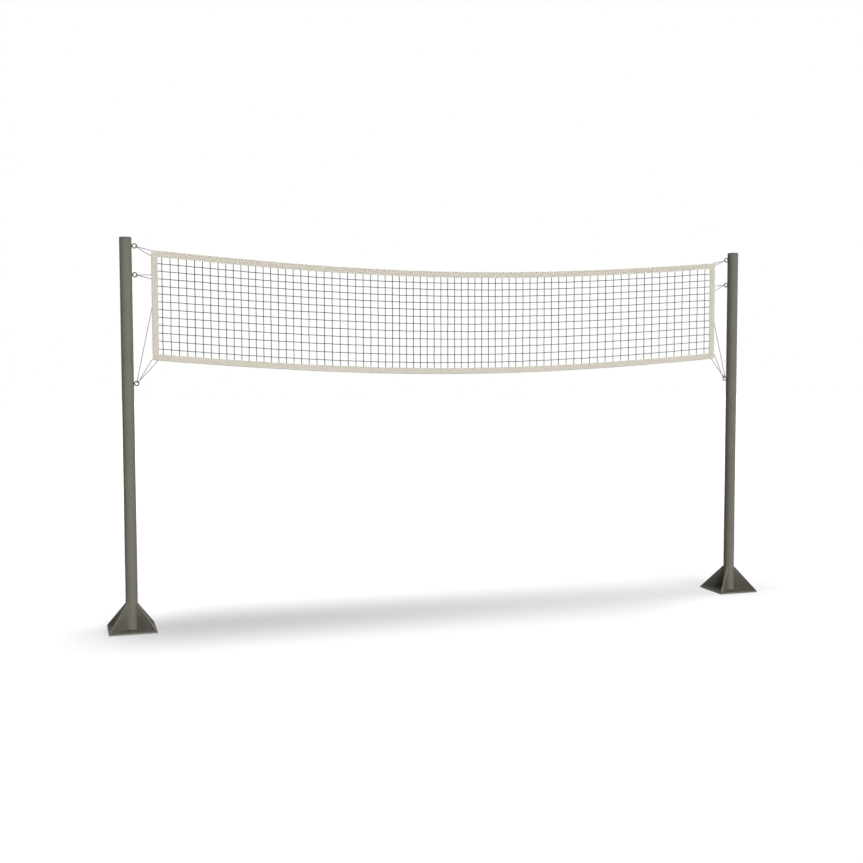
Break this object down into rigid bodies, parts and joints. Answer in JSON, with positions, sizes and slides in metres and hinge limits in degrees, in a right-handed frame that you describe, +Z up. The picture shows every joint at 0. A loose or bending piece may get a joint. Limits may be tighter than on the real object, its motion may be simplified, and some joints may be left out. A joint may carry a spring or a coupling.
{
  "type": "volleyball net with posts",
  "caption": "Volleyball net with taped edges and a slight sag, lashed to screw-in eye bolts on round steel posts that stand free on gusseted square base plates.",
  "frame": {"origin": "on the ground, midway between the two posts, on the plane of the net", "axes": "+X runs along the net from the left post to the right post, +Y runs through the net, +Z is up"},
  "size_m": [4.633, 0.3, 2.5],
  "materials": {
    "post_paint": "satin olive-grey powder coat",
    "cap_plastic": "fine-grained moulded plastic, a shade darker than the paint",
    "eye_steel": "painted forged steel",
    "zinc": "zinc-plated steel",
    "net_cord": "dark grey twisted polyethylene twine",
    "tape_canvas": "off-white woven tape",
    "rope": "light grey laid rope"
  },
  "bodies": {
    "posts_and_net": {"left_base_plate": "post_paint", "left_post_tube": "post_paint", "left_gusset_1": "post_paint", "left_gusset_2": "post_paint", "left_gusset_3": "post_paint", "left_gusset_4": "post_paint", "left_end_cap": "cap_plastic", "left_upper_insert": "zinc", "left_middle_insert": "zinc", "left_lower_insert": "zinc", "right_base_plate": "post_paint", "right_post_tube": "post_paint", "right_gusset_1": "post_paint", "right_gusset_2": "post_paint", "right_gusset_3": "post_paint", "right_gusset_4": "post_paint", "right_end_cap": "cap_plastic", "right_upper_insert": "zinc", "right_middle_insert": "zinc", "right_lower_insert": "zinc", "net_mesh": "net_cord", "top_tape": "tape_canvas", "bottom_tape": "tape_canvas", "left_tape": "tape_canvas", "right_tape": "tape_canvas", "headline_rope": "rope", "footline_rope": "rope", "left_middle_lashing": "rope", "right_middle_lashing": "rope", "left_side_tie": "rope", "right_side_tie": "rope"},
    "left_upper_eye": {"left_upper_eye_bolt": "eye_steel"},
    "left_middle_eye": {"left_middle_eye_bolt": "eye_steel"},
    "left_lower_eye": {"left_lower_eye_bolt": "eye_steel"},
    "right_upper_eye": {"right_upper_eye_bolt": "eye_steel"},
    "right_middle_eye": {"right_middle_eye_bolt": "eye_steel"},
    "right_lower_eye": {"right_lower_eye_bolt": "eye_steel"}
  },
  "joints": [
    {"name": "left_upper_eye_turn", "type": "hinge", "parent": "posts_and_net", "child": "left_upper_eye", "pos_m": [-2.1282, 0, 2.4445], "axis": [1, 0, 0], "range_deg": [-12, 12]},
    {"name": "left_middle_eye_turn", "type": "hinge", "parent": "posts_and_net", "child": "left_middle_eye", "pos_m": [-2.1282, 0, 2.2635], "axis": [1, 0, 0], "range_deg": [-15, 15]},
    {"name": "left_lower_eye_turn", "type": "hinge", "parent": "posts_and_net", "child": "left_lower_eye", "pos_m": [-2.1282, 0, 1.578], "axis": [1, 0, 0], "range_deg": [-4, 4]},
    {"name": "right_upper_eye_turn", "type": "hinge", "parent": "posts_and_net", "child": "right_upper_eye", "pos_m": [2.1282, 0, 2.4445], "axis": [-1, 0, 0], "range_deg": [-12, 12]},
    {"name": "right_middle_eye_turn", "type": "hinge", "parent": "posts_and_net", "child": "right_middle_eye", "pos_m": [2.1282, 0, 2.2635], "axis": [-1, 0, 0], "range_deg": [-15, 15]},
    {"name": "right_lower_eye_turn", "type": "hinge", "parent": "posts_and_net", "child": "right_lower_eye", "pos_m": [2.1282, 0, 1.578], "axis": [-1, 0, 0], "range_deg": [-4, 4]}
  ]
}
